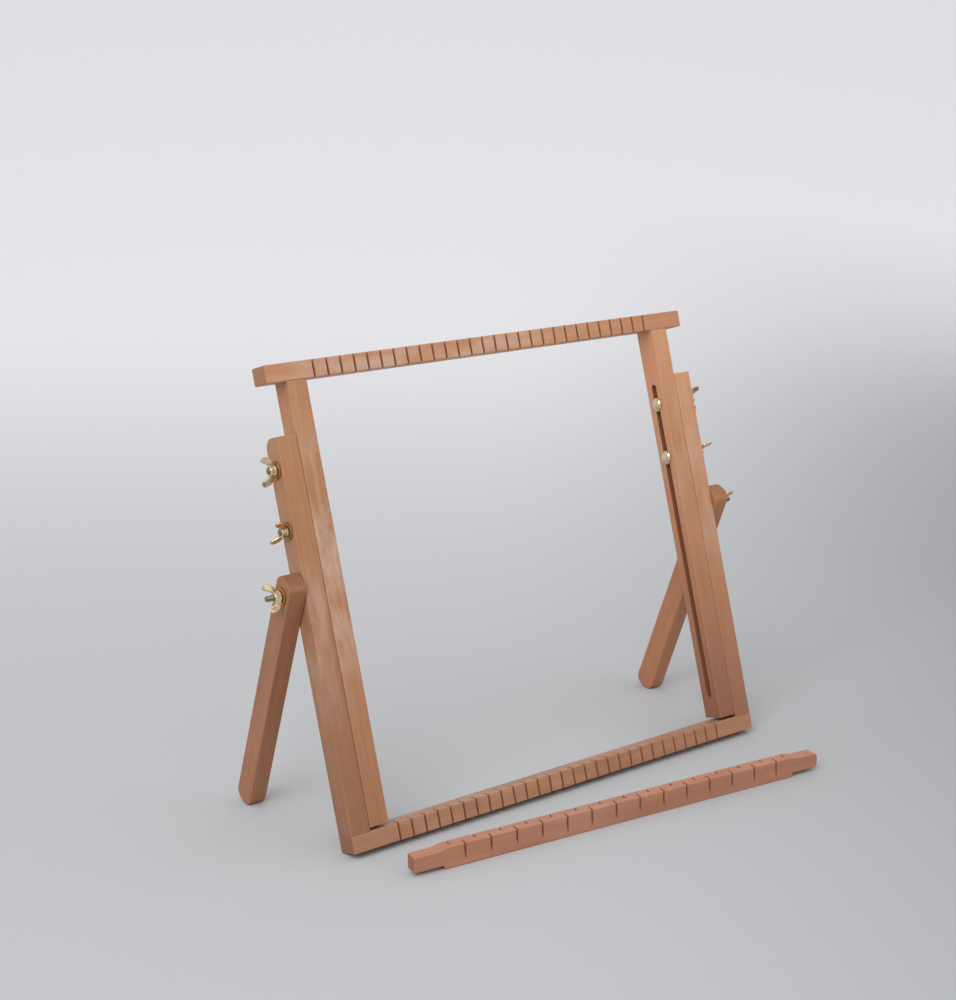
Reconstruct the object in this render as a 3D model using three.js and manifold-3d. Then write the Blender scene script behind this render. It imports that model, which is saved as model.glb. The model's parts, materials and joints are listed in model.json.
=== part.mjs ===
// A table-top frame loom: a kerfed beam on two slotted uprights slides in a lower frame, which leans
// back on two folding legs. Its warp separator lies on the table in front. Millimetres, +Z up, the
// origin on the table under the middle of the whole set.

import * as THREE from 'three';
import { mergeVertices } from 'three/addons/utils/BufferGeometryUtils.js';
import Module from 'manifold-3d';

const wasm = await Module();
wasm.setup();

// Overall sizes, the heights measured along the leaning frame
const LOOM_WIDTH = 440;
const CLOSED_HEIGHT = 400;
const LEAN = THREE.MathUtils.degToRad(16);

// Timber sections
const STOCK_DEPTH = 22;
const UPRIGHT_THICKNESS = 18;
const BEAM_HEIGHT = 15;
const LEG_THICKNESS = 16;
const EDGE_ROUND = 1;
const CORNER_ROUND = 1.5;

// Uprights, and the slots in which the upper frame rises by 210
const INNER_LIFT = 2.5;
const SLOT_WIDTH = 6;
const SLOT_ABOVE_FOOT = 18.5;
const SLOT_BELOW_HEAD = 49.7;
const OUTER_TOP_ABOVE_BOLT = 26;
const OUTER_TOP_ROUND = 10;

// Bolts up the outer uprights, counted down from the slot's upper end
const BOLT_BELOW_SLOT_END = 19;
const BOLT_SPACING = 50;

// Legs, their slope measured from the vertical
const LEG_SLOPE = THREE.MathUtils.degToRad(23.4);
const LEG_PIVOT_FROM_END = 16;
const LEG_END_ROUND = 8;
const LEG_GAP = 0.5;

// Kerfs in the two beams
const KERF_COUNT = 28;
const KERF_PITCH = 13;
const KERF_WIDTH = 2;
const KERF_DEPTH = 8;

// Warp separator
const SEPARATOR_LENGTH = 404;
const SEPARATOR_DEPTH = 12;
const SEPARATOR_HEIGHT = 19;
const SEPARATOR_KERFS = 29;
const SEPARATOR_PITCH = 12;
const SEPARATOR_KERF_DROP = 14.5;
const SEPARATOR_KERF_REACH = 7;
const SEPARATOR_SHOULDER = 19;
const SEPARATOR_SWEEP = 13;
const SEPARATOR_STEP = 27;
const SEPARATOR_STEP_ROUND = 2;
const SEPARATOR_TOP_CUT = 2;
const SEPARATOR_UNDER_CUT = 3.5;
const SEPARATOR_END_ROUND = 4;
const SEPARATOR_TURN = THREE.MathUtils.degToRad(-6.5);
const SEPARATOR_OFFSET = 3;
const SEPARATOR_IN_FRONT = 71;

// Carriage bolts
const BOLT_RADIUS = 2.5;
const BOLT_TIP_CHAMFER = 0.6;
const BOLT_HEAD_RADIUS = 6.5;
const BOLT_HEAD_HEIGHT = 3.2;
const BOLT_NECK_WIDTH = 5;
const BOLT_NECK_LENGTH = 3.5;
const CLAMP_BOLT_LENGTH = 45;
const LEG_BOLT_LENGTH = 45;
const COUNTERBORE_DEPTH = 4;

// Washers and wing nuts
const WASHER_RADIUS = 7.5;
const WASHER_THICKNESS = 1.2;
const NUT_BASE_RADIUS = 5.2;
const NUT_TOP_RADIUS = 4.2;
const NUT_HEIGHT = 5.5;
const NUT_CHAMFER = 0.5;
const WING_REACH = 12.5;
const WING_RISE = 12;
const WING_TIP_RADIUS = 2.6;
const WING_FOOT = 1;
const WING_WAIST = 2;
const WING_BACK = 1.2;
const WING_THICKNESS = 2.2;
const WING_EDGE = 0.5;
const WING_TIP_ARC = THREE.MathUtils.degToRad(144);

// Dowels in the butt joints
const DOWEL_RADIUS = 3;
const DOWEL_LENGTH = 24;
const DOWEL_IN_BEAM = 10;
const DOWEL_SPACING = 10;
const DOWEL_CHAMFER = 0.8;

// Clearances
const SLIDE_GAP = 0.3;
const SEAT_GAP = 0.3;
const HOLE_GAP = 0.3;
const THREAD_GAP = 0.25;
const DOWEL_GAP = 0.25;
const CUT_MARGIN = 1;

// Fineness of the round forms
const ROUND_SIDES = 16;
const CORNER_STEPS = 2;
const EDGE_STEPS = 2;
const LARGE_ARC_STEPS = 4;
const SLOT_END_STEPS = 8;
const DOME_STEPS = 4;
const WING_STEPS = 4;

// Places across the loom, from the middle outwards
const OUTER_FACE = LOOM_WIDTH / 2;
const OUTER_INNER_FACE = OUTER_FACE - UPRIGHT_THICKNESS;
const INNER_OUTER_FACE = OUTER_INNER_FACE - SLIDE_GAP;
const INNER_FACE = INNER_OUTER_FACE - UPRIGHT_THICKNESS;
const LEG_INNER_FACE = OUTER_FACE + LEG_GAP;
const LEG_OUTER_FACE = LEG_INNER_FACE + LEG_THICKNESS;

// Places up the frame
const MID_DEPTH = STOCK_DEPTH / 2;
const TOP_BEAM_UNDERSIDE = CLOSED_HEIGHT - BEAM_HEIGHT;
const OUTER_FOOT = BEAM_HEIGHT + SEAT_GAP;
const INNER_FOOT = BEAM_HEIGHT + INNER_LIFT;
const INNER_HEAD = TOP_BEAM_UNDERSIDE - SEAT_GAP;
const SLOT_LOW = INNER_FOOT + SLOT_ABOVE_FOOT;
const SLOT_HIGH = INNER_HEAD - SLOT_BELOW_HEAD;
const UPPER_CLAMP_HEIGHT = SLOT_HIGH - BOLT_BELOW_SLOT_END;
const LOWER_CLAMP_HEIGHT = UPPER_CLAMP_HEIGHT - BOLT_SPACING;
const LEG_PIVOT_HEIGHT = LOWER_CLAMP_HEIGHT - BOLT_SPACING;
const OUTER_TOP = UPPER_CLAMP_HEIGHT + OUTER_TOP_ABOVE_BOLT;

// The frame stands on the rounded lower back edge of the bottom beam
const FRAME_LIFT = (STOCK_DEPTH - CORNER_ROUND) * Math.sin(LEAN) + CORNER_ROUND * (1 - Math.cos(LEAN));

// Each leg slopes back from its pivot and is as long as it takes to reach the table
const LEG_END_FLAT = STOCK_DEPTH / 2 - LEG_END_ROUND;
const PIVOT_ABOVE_TABLE = LEG_PIVOT_HEIGHT * Math.cos(LEAN) - MID_DEPTH * Math.sin(LEAN) + FRAME_LIFT;
const LEG_REACH = (PIVOT_ABOVE_TABLE - LEG_END_ROUND - LEG_END_FLAT * Math.sin(LEG_SLOPE)) / Math.cos(LEG_SLOPE);
const LEG_LENGTH = LEG_PIVOT_FROM_END + LEG_REACH + LEG_END_ROUND;
const LEG_OPENING = LEAN + LEG_SLOPE;

// Turn of each wing nut about its bolt, as it was last tightened
const NUT_TURNS = {
  left_upper_clamp: 17,
  left_lower_clamp: 52,
  left_leg: -19,
  right_upper_clamp: 30,
  right_lower_clamp: 54,
  right_leg: 52,
};

const SIDES = { left: -1, right: 1 };
const X = new THREE.Vector3(1, 0, 0);
const Y = new THREE.Vector3(0, 1, 0);
const Z = new THREE.Vector3(0, 0, 1);

const beech = (colour) => new THREE.MeshStandardMaterial({
  color: colour, roughness: 0.55, metalness: 0, flatShading: true,
});
const FRAME_WOOD = beech(0xc68f6c);
const LEG_WOOD = beech(0xab775a);
const SEPARATOR_WOOD = beech(0xb67f63);
const DOWEL_WOOD = beech(0xd2ab85);
const BRASS = new THREE.MeshStandardMaterial({
  color: 0xc9a64e, roughness: 0.3, metalness: 0.9, flatShading: true,
});

// A closed mesh as a solid that can be cut and joined
function solidOf(geometry) {
  const bare = geometry.clone();
  bare.deleteAttribute('normal');
  bare.deleteAttribute('uv');
  const merged = mergeVertices(bare);
  return new wasm.Manifold(new wasm.Mesh({
    numProp: 3,
    vertProperties: new Float32Array(merged.attributes.position.array),
    triVerts: new Uint32Array(merged.index.array),
  }));
}

function geometryOf(solid) {
  const mesh = solid.getMesh();
  const geometry = new THREE.BufferGeometry();
  geometry.setAttribute('position', new THREE.BufferAttribute(mesh.vertProperties, 3));
  geometry.setIndex(new THREE.BufferAttribute(mesh.triVerts, 1));
  return geometry;
}

function cut(geometry, cutters) {
  const whole = cutters.reduce((solid, cutter) => solid.subtract(solidOf(cutter)), solidOf(geometry));
  return geometryOf(whole);
}

function join(geometries) {
  return geometries.map(solidOf).reduce((sum, solid) => sum.add(solid));
}

// An outline of width and height, its lower left corner at the origin, with round corners, of which
// the upper right one may have a larger radius
function roundedOutline(width, height, radius, upperRight = radius) {
  const outline = new THREE.Shape();
  outline.absarc(width - radius, radius, radius, -Math.PI / 2, 0);
  outline.absarc(width - upperRight, height - upperRight, upperRight, 0, Math.PI / 2);
  outline.absarc(radius, height - radius, radius, Math.PI / 2, Math.PI);
  outline.absarc(radius, radius, radius, Math.PI, Math.PI * 1.5);
  return outline;
}

// A sanded board: an outline given its thickness, with every edge rounded
function sandedBoard(outline, thickness, curveSegments = CORNER_STEPS) {
  const board = new THREE.ExtrudeGeometry(outline, {
    depth: thickness - 2 * EDGE_ROUND,
    bevelThickness: EDGE_ROUND,
    bevelSize: EDGE_ROUND,
    bevelOffset: -EDGE_ROUND,
    bevelSegments: EDGE_STEPS,
    curveSegments,
  });
  return board.translate(0, 0, EDGE_ROUND);
}

// Turns a drawing in the side plane, back and up, so that its thickness runs along X
const acrossLoom = (geometry) => geometry.applyMatrix4(new THREE.Matrix4().makeBasis(Y, Z, X));

// Turns a drawing in the front plane so that its thickness runs towards the front
const throughBar = (geometry) => geometry.applyMatrix4(
  new THREE.Matrix4().makeBasis(X, Z, Y.clone().negate()),
);

// A round cutter or pin along X, from x0 to x1, about a point of the side plane
function rodAlongX(radius, x0, x1, y, z) {
  const rod = new THREE.CylinderGeometry(radius, radius, x1 - x0, ROUND_SIDES);
  return rod.rotateZ(-Math.PI / 2).translate((x0 + x1) / 2, y, z);
}

function boxAlongX(width, x0, x1, y, z) {
  return new THREE.BoxGeometry(x1 - x0, width, width).translate((x0 + x1) / 2, y, z);
}

// Holes for the two dowels of a butt joint, up from zLow to zHigh, about x
function dowelHoles(x, zLow, zHigh) {
  const radius = DOWEL_RADIUS + DOWEL_GAP;
  return [-1, 1].map((step) => {
    const hole = new THREE.CylinderGeometry(radius, radius, zHigh - zLow, ROUND_SIDES);
    return hole.rotateX(Math.PI / 2).translate(x, MID_DEPTH + step * DOWEL_SPACING / 2, (zLow + zHigh) / 2);
  });
}

// A cross beam with its row of saw kerfs, and dowel holes from its face at jointZ into the wood
function kerfedBeam(holeX, jointZ, intoBeam) {
  const board = acrossLoom(sandedBoard(roundedOutline(STOCK_DEPTH, BEAM_HEIGHT, CORNER_ROUND), LOOM_WIDTH));
  board.translate(-LOOM_WIDTH / 2, 0, 0);
  const kerfs = Array.from({ length: KERF_COUNT }, (_, index) => {
    const x = (index - (KERF_COUNT - 1) / 2) * KERF_PITCH;
    const slit = new THREE.BoxGeometry(KERF_WIDTH, KERF_DEPTH + CUT_MARGIN, BEAM_HEIGHT + 2 * CUT_MARGIN);
    return slit.translate(x, (KERF_DEPTH - CUT_MARGIN) / 2, BEAM_HEIGHT / 2);
  });
  const depth = DOWEL_IN_BEAM + SEAT_GAP;
  const zLow = jointZ - (intoBeam < 0 ? depth : CUT_MARGIN);
  const zHigh = jointZ + (intoBeam < 0 ? CUT_MARGIN : depth);
  const holes = [-holeX, holeX].flatMap((x) => dowelHoles(x, zLow, zHigh));
  return cut(board, [...kerfs, ...holes]);
}

// A sliding upright with the long slot that the clamp bolts pass through
function slottedUpright() {
  const length = INNER_HEAD - INNER_FOOT;
  const board = acrossLoom(sandedBoard(roundedOutline(STOCK_DEPTH, length, CORNER_ROUND), UPRIGHT_THICKNESS));
  const radius = SLOT_WIDTH / 2;
  const outline = new THREE.Shape();
  outline.absarc(MID_DEPTH, SLOT_HIGH - INNER_FOOT - radius, radius, 0, Math.PI);
  outline.absarc(MID_DEPTH, SLOT_LOW - INNER_FOOT + radius, radius, Math.PI, Math.PI * 2);
  const slot = acrossLoom(new THREE.ExtrudeGeometry(outline, {
    depth: UPRIGHT_THICKNESS + 2 * CUT_MARGIN, bevelEnabled: false, curveSegments: SLOT_END_STEPS,
  })).translate(-CUT_MARGIN, 0, 0);
  const deep = DOWEL_LENGTH - DOWEL_IN_BEAM + SEAT_GAP;
  return cut(board, [slot, ...dowelHoles(UPRIGHT_THICKNESS / 2, length - deep, length + CUT_MARGIN)]);
}

// A fixed upright: two clamp holes, and for the leg bolt a hole, a square seat and a counterbore
// that opens on the inner face, which is at x = 0 on the right and at full thickness on the left
function standingUpright(side) {
  const length = OUTER_TOP - OUTER_FOOT;
  const outline = roundedOutline(STOCK_DEPTH, length, CORNER_ROUND, OUTER_TOP_ROUND);
  const board = acrossLoom(sandedBoard(outline, UPRIGHT_THICKNESS, LARGE_ARC_STEPS));
  const holeRadius = BOLT_RADIUS + HOLE_GAP;
  const holes = [LEG_PIVOT_HEIGHT, LOWER_CLAMP_HEIGHT, UPPER_CLAMP_HEIGHT].map((height) => rodAlongX(
    holeRadius, -CUT_MARGIN, UPRIGHT_THICKNESS + CUT_MARGIN, MID_DEPTH, height - OUTER_FOOT,
  ));
  const neckEnd = COUNTERBORE_DEPTH + BOLT_NECK_LENGTH + HOLE_GAP;
  const span = (depth) => (side > 0
    ? [-CUT_MARGIN, depth]
    : [UPRIGHT_THICKNESS - depth, UPRIGHT_THICKNESS + CUT_MARGIN]);
  const pivotZ = LEG_PIVOT_HEIGHT - OUTER_FOOT;
  const counterbore = rodAlongX(BOLT_HEAD_RADIUS + HOLE_GAP, ...span(COUNTERBORE_DEPTH), MID_DEPTH, pivotZ);
  const seat = boxAlongX(BOLT_NECK_WIDTH + 2 * HOLE_GAP, ...span(neckEnd), MID_DEPTH, pivotZ);
  const deep = DOWEL_LENGTH - DOWEL_IN_BEAM + SEAT_GAP;
  const dowels = dowelHoles(UPRIGHT_THICKNESS / 2, -CUT_MARGIN, deep);
  return cut(board, [...holes, counterbore, seat, ...dowels]);
}

// A leg hanging from its pivot at the origin, straight down, with well rounded corners at both ends
function leg() {
  const outline = roundedOutline(STOCK_DEPTH, LEG_LENGTH, LEG_END_ROUND);
  const board = acrossLoom(sandedBoard(outline, LEG_THICKNESS, LARGE_ARC_STEPS));
  board.translate(0, -STOCK_DEPTH / 2, LEG_PIVOT_FROM_END - LEG_LENGTH);
  return cut(board, [rodAlongX(BOLT_RADIUS + HOLE_GAP, -CUT_MARGIN, LEG_THICKNESS + CUT_MARGIN, 0, 0)]);
}

// The separator's outline from the front: thinner ends, with a swept shoulder above and a step below,
// and well rounded at the right end only
function separatorOutline() {
  const half = SEPARATOR_LENGTH / 2;
  const step = half - SEPARATOR_STEP;
  const shoulder = half - SEPARATOR_SHOULDER;
  const endTop = SEPARATOR_HEIGHT - SEPARATOR_TOP_CUT;
  const round = SEPARATOR_END_ROUND;
  const outline = new THREE.Shape();
  outline.moveTo(-step + SEPARATOR_STEP_ROUND, 0);
  outline.lineTo(step - SEPARATOR_STEP_ROUND, 0);
  outline.quadraticCurveTo(step, 0, step, SEPARATOR_STEP_ROUND);
  outline.lineTo(step, SEPARATOR_UNDER_CUT);
  outline.absarc(half - round, SEPARATOR_UNDER_CUT + round, round, -Math.PI / 2, 0);
  outline.absarc(half - round, endTop - round, round, 0, Math.PI / 2);
  outline.lineTo(shoulder, endTop);
  outline.bezierCurveTo(
    shoulder - SEPARATOR_SWEEP / 2, endTop,
    shoulder - SEPARATOR_SWEEP / 2, SEPARATOR_HEIGHT,
    shoulder - SEPARATOR_SWEEP, SEPARATOR_HEIGHT,
  );
  outline.lineTo(-shoulder + SEPARATOR_SWEEP, SEPARATOR_HEIGHT);
  outline.bezierCurveTo(
    -shoulder + SEPARATOR_SWEEP / 2, SEPARATOR_HEIGHT,
    -shoulder + SEPARATOR_SWEEP / 2, endTop,
    -shoulder, endTop,
  );
  outline.absarc(-half + CORNER_ROUND, endTop - CORNER_ROUND, CORNER_ROUND, Math.PI / 2, Math.PI);
  outline.absarc(
    -half + CORNER_ROUND, SEPARATOR_UNDER_CUT + CORNER_ROUND, CORNER_ROUND, Math.PI, Math.PI * 1.5,
  );
  outline.lineTo(-step, SEPARATOR_UNDER_CUT);
  outline.lineTo(-step, SEPARATOR_STEP_ROUND);
  outline.quadraticCurveTo(-step, 0, -step + SEPARATOR_STEP_ROUND, 0);
  return outline;
}

// A slanting kerf across one upper edge: it runs SEPARATOR_KERF_REACH over the top and
// SEPARATOR_KERF_DROP down the face at y = face, whose outside lies towards outward
function separatorKerf(x, face, outward) {
  const grow = CUT_MARGIN * 2;
  const slope = SEPARATOR_KERF_DROP / SEPARATOR_KERF_REACH;
  const top = SEPARATOR_HEIGHT + grow;
  const profile = new THREE.Shape([
    new THREE.Vector2(face - outward * (SEPARATOR_KERF_REACH + grow / slope), top),
    new THREE.Vector2(face + outward * grow, SEPARATOR_HEIGHT - SEPARATOR_KERF_DROP - grow * slope),
    new THREE.Vector2(face + outward * grow, top),
  ]);
  const slit = new THREE.ExtrudeGeometry(profile, { depth: KERF_WIDTH, bevelEnabled: false });
  return acrossLoom(slit).translate(x - KERF_WIDTH / 2, 0, 0);
}

function warpSeparator() {
  const bar = throughBar(sandedBoard(separatorOutline(), SEPARATOR_DEPTH));
  bar.translate(0, SEPARATOR_DEPTH / 2, 0);
  const kerfs = Array.from({ length: SEPARATOR_KERFS }, (_, index) => {
    const x = (index - (SEPARATOR_KERFS - 1) / 2) * SEPARATOR_PITCH;
    const outward = index % 2 === 0 ? 1 : -1;
    return separatorKerf(x, outward * SEPARATOR_DEPTH / 2, outward);
  });
  return cut(bar, kerfs);
}

// A carriage bolt along X: the seat under its domed head is at x = 0 and its tip at x = length
function carriageBolt(length) {
  const domeRadius = (BOLT_HEAD_RADIUS ** 2 + BOLT_HEAD_HEIGHT ** 2) / (2 * BOLT_HEAD_HEIGHT);
  const domeAngle = Math.asin(BOLT_HEAD_RADIUS / domeRadius);
  const dome = Array.from({ length: DOME_STEPS + 1 }, (_, index) => {
    const angle = domeAngle * index / DOME_STEPS;
    return new THREE.Vector2(
      domeRadius * Math.sin(angle),
      -BOLT_HEAD_HEIGHT + domeRadius * (1 - Math.cos(angle)),
    );
  });
  dome[0].x = 0;
  const shank = [
    new THREE.Vector2(BOLT_RADIUS, 0),
    new THREE.Vector2(BOLT_RADIUS, length - BOLT_TIP_CHAMFER),
    new THREE.Vector2(BOLT_RADIUS - BOLT_TIP_CHAMFER, length),
    new THREE.Vector2(0, length),
  ];
  const turned = new THREE.LatheGeometry([...dome, ...shank], ROUND_SIDES).rotateZ(-Math.PI / 2);
  const neck = boxAlongX(BOLT_NECK_WIDTH, -CUT_MARGIN, BOLT_NECK_LENGTH, 0, 0);
  return geometryOf(join([turned, neck]));
}

function washer() {
  const bore = BOLT_RADIUS + HOLE_GAP;
  const section = [[bore, 0], [WASHER_RADIUS, 0], [WASHER_RADIUS, WASHER_THICKNESS], [bore, WASHER_THICKNESS]];
  const points = [...section, section[0]].map(([radius, height]) => new THREE.Vector2(radius, height));
  return new THREE.LatheGeometry(points, ROUND_SIDES).rotateZ(-Math.PI / 2);
}

// A wing nut along X, its face at x = 0: a tapered hub with two flared wings in the XZ plane
function wingNut() {
  const hub = new THREE.LatheGeometry([
    new THREE.Vector2(0, 0),
    new THREE.Vector2(NUT_BASE_RADIUS - NUT_CHAMFER, 0),
    new THREE.Vector2(NUT_BASE_RADIUS, NUT_CHAMFER),
    new THREE.Vector2(NUT_TOP_RADIUS, NUT_HEIGHT - NUT_CHAMFER),
    new THREE.Vector2(NUT_TOP_RADIUS - NUT_CHAMFER, NUT_HEIGHT),
    new THREE.Vector2(0, NUT_HEIGHT),
  ], ROUND_SIDES);
  const tipX = WING_REACH - WING_TIP_RADIUS;
  const tipY = WING_RISE - WING_TIP_RADIUS;
  const root = BOLT_RADIUS + THREAD_GAP + WING_EDGE;
  const outline = new THREE.Shape();
  outline.moveTo(root, WING_FOOT);
  outline.lineTo(NUT_BASE_RADIUS, WING_FOOT);
  outline.quadraticCurveTo(WING_REACH - WING_FOOT, WING_WAIST, WING_REACH, tipY);
  outline.absarc(tipX, tipY, WING_TIP_RADIUS, 0, WING_TIP_ARC);
  outline.quadraticCurveTo(NUT_TOP_RADIUS + WING_BACK, NUT_HEIGHT, root, NUT_HEIGHT - WING_FOOT);
  const wing = new THREE.ExtrudeGeometry(outline, {
    depth: WING_THICKNESS - 2 * WING_EDGE,
    bevelThickness: WING_EDGE,
    bevelSize: WING_EDGE,
    bevelOffset: -WING_EDGE,
    bevelSegments: 1,
    curveSegments: WING_STEPS,
  }).translate(0, 0, WING_EDGE - WING_THICKNESS / 2);
  const otherWing = wing.clone().rotateY(Math.PI);
  const boreRadius = BOLT_RADIUS + THREAD_GAP;
  const thread = new THREE.CylinderGeometry(boreRadius, boreRadius, 2 * (WING_RISE + CUT_MARGIN), ROUND_SIDES);
  const nut = join([hub, wing, otherWing]).subtract(solidOf(thread));
  return geometryOf(nut).rotateZ(-Math.PI / 2).rotateX(Math.PI / 2);
}

function dowel() {
  return new THREE.LatheGeometry([
    new THREE.Vector2(0, 0),
    new THREE.Vector2(DOWEL_RADIUS - DOWEL_CHAMFER, 0),
    new THREE.Vector2(DOWEL_RADIUS, DOWEL_CHAMFER),
    new THREE.Vector2(DOWEL_RADIUS, DOWEL_LENGTH - DOWEL_CHAMFER),
    new THREE.Vector2(DOWEL_RADIUS - DOWEL_CHAMFER, DOWEL_LENGTH),
    new THREE.Vector2(0, DOWEL_LENGTH),
  ], ROUND_SIDES).rotateX(Math.PI / 2);
}

function named(name, geometry, material, x = 0, y = 0, z = 0) {
  const mesh = new THREE.Mesh(geometry, material.clone());
  mesh.name = name;
  mesh.position.set(x, y, z);
  return mesh;
}

// The two dowels of one joint, starting at height z
function addDowels(frame, name, x, z) {
  frame.add(named(`${name}_front_dowel`, dowel(), DOWEL_WOOD, x, MID_DEPTH - DOWEL_SPACING / 2, z));
  frame.add(named(`${name}_back_dowel`, dowel(), DOWEL_WOOD, x, MID_DEPTH + DOWEL_SPACING / 2, z));
}

// Bolt, washer and wing nut at one height: the head seats at headX and the washer at washerX, both
// measured outwards from the middle of the loom
function addFastener(frame, name, side, height, headX, washerX, length) {
  const outwards = side > 0 ? 0 : Math.PI;
  const bolt = named(`${name}_bolt`, carriageBolt(length), BRASS, side * headX, MID_DEPTH, height);
  const ring = named(`${name}_washer`, washer(), BRASS, side * washerX, MID_DEPTH, height);
  const nutX = side * (washerX + WASHER_THICKNESS + SEAT_GAP);
  const nut = named(`${name}_wing_nut`, wingNut(), BRASS, nutX, MID_DEPTH, height);
  bolt.rotation.z = outwards;
  ring.rotation.z = outwards;
  nut.rotation.set(THREE.MathUtils.degToRad(NUT_TURNS[name]), 0, outwards);
  frame.add(bolt, ring, nut);
}

const frame = new THREE.Group();
frame.rotation.x = -LEAN;
frame.position.z = FRAME_LIFT;

const innerMiddle = (INNER_FACE + INNER_OUTER_FACE) / 2;
const outerMiddle = (OUTER_INNER_FACE + OUTER_FACE) / 2;
frame.add(named('bottom_beam', kerfedBeam(outerMiddle, BEAM_HEIGHT, -1), FRAME_WOOD));
frame.add(named('top_beam', kerfedBeam(innerMiddle, 0, 1), FRAME_WOOD, 0, 0, TOP_BEAM_UNDERSIDE));

for (const [sideName, side] of Object.entries(SIDES)) {
  const innerX = side > 0 ? INNER_FACE : -INNER_OUTER_FACE;
  const outerX = side > 0 ? OUTER_INNER_FACE : -OUTER_FACE;
  const legX = side > 0 ? LEG_INNER_FACE : -LEG_OUTER_FACE;
  frame.add(named(`${sideName}_inner_upright`, slottedUpright(), FRAME_WOOD, innerX, 0, INNER_FOOT));
  frame.add(named(`${sideName}_outer_upright`, standingUpright(side), FRAME_WOOD, outerX, 0, OUTER_FOOT));
  const legMesh = named(`${sideName}_leg`, leg(), LEG_WOOD, legX, MID_DEPTH, LEG_PIVOT_HEIGHT);
  legMesh.rotation.x = LEG_OPENING;
  frame.add(legMesh);
  addDowels(frame, `${sideName}_top`, side * innerMiddle, TOP_BEAM_UNDERSIDE + DOWEL_IN_BEAM - DOWEL_LENGTH);
  addDowels(frame, `${sideName}_bottom`, side * outerMiddle, BEAM_HEIGHT - DOWEL_IN_BEAM);
  const clampHead = INNER_FACE - SEAT_GAP;
  const clampWasher = OUTER_FACE + SEAT_GAP;
  const legHead = OUTER_INNER_FACE + COUNTERBORE_DEPTH - SEAT_GAP;
  const legWasher = LEG_OUTER_FACE + SEAT_GAP;
  for (const [level, height] of Object.entries({ upper: UPPER_CLAMP_HEIGHT, lower: LOWER_CLAMP_HEIGHT })) {
    const name = `${sideName}_${level}_clamp`;
    addFastener(frame, name, side, height, clampHead, clampWasher, CLAMP_BOLT_LENGTH);
  }
  addFastener(frame, `${sideName}_leg`, side, LEG_PIVOT_HEIGHT, legHead, legWasher, LEG_BOLT_LENGTH);
}

const separator = named('warp_separator', warpSeparator(), SEPARATOR_WOOD);
separator.position.set(SEPARATOR_OFFSET, -SEPARATOR_IN_FRONT, 0);
separator.rotation.z = SEPARATOR_TURN;

const loom = new THREE.Group();
loom.add(frame, separator);
loom.updateMatrixWorld(true);
const box = new THREE.Box3().setFromObject(loom, true);
loom.position.set(-(box.min.x + box.max.x) / 2, -(box.min.y + box.max.y) / 2, 0);

export default loom;
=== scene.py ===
"""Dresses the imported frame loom: beech boards, brass fasteners, and the table they stand on."""

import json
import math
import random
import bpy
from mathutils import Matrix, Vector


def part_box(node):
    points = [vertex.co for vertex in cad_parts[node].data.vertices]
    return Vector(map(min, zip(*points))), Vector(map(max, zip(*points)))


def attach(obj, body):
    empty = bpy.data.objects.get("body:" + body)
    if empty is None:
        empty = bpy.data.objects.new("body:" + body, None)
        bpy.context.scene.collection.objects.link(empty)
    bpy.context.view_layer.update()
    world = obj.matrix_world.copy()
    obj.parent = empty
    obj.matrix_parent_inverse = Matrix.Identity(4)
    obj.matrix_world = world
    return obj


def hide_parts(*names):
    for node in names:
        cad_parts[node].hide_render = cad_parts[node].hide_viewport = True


bl_info = {
    "name": "Frame loom",
    "version": (1, 0, 0),
    "blender": (4, 5, 0),
    "location": "3D View > Sidebar > Loom",
    "description": "Builds the visible pieces of a leaning frame loom and its stage",
    "category": "Object",
}

import bmesh
import bpy
from mathutils import Matrix, Vector

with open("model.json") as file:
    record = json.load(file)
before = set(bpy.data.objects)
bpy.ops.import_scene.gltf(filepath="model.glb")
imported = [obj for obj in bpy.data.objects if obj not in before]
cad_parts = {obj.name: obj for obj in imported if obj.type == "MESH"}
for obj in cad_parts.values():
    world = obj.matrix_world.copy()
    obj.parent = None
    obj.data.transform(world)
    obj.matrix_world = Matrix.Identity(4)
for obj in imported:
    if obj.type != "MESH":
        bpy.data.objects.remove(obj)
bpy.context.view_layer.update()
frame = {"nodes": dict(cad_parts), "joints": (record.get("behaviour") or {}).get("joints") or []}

MM = 0.001
TURN = 2 * math.pi
SIDES = {"left": -1, "right": 1}

# Timber sizes in millimetres and the legs' slope in degrees, as in the solids
LOOM_WIDTH = 440
CLOSED_HEIGHT = 400
STOCK_DEPTH = 22
UPRIGHT_THICKNESS = 18
BEAM_HEIGHT = 15
LEG_THICKNESS = 16
LEG_SLOPE = 23.4
LEG_PIVOT_FROM_END = 16
LEG_END_ROUND = 8
OUTER_TOP = 342
OUTER_TOP_ROUND = 10
OUTER_FOOT = BEAM_HEIGHT
INNER_LIFT = 2.5
INNER_FOOT = BEAM_HEIGHT + INNER_LIFT
INNER_HEAD = CLOSED_HEIGHT - BEAM_HEIGHT
INNER_MIDDLE = 192.7
OUTER_MIDDLE = 211
SLOT_WIDTH = 6
SLOT_LOW = 36
SLOT_HIGH = 335
LEG_PIVOT_HEIGHT = 216
CLAMP_HEIGHTS = (266, 316)
KERF_COUNT = 28
KERF_PITCH = 13
KERF_DEPTH = 8

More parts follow.
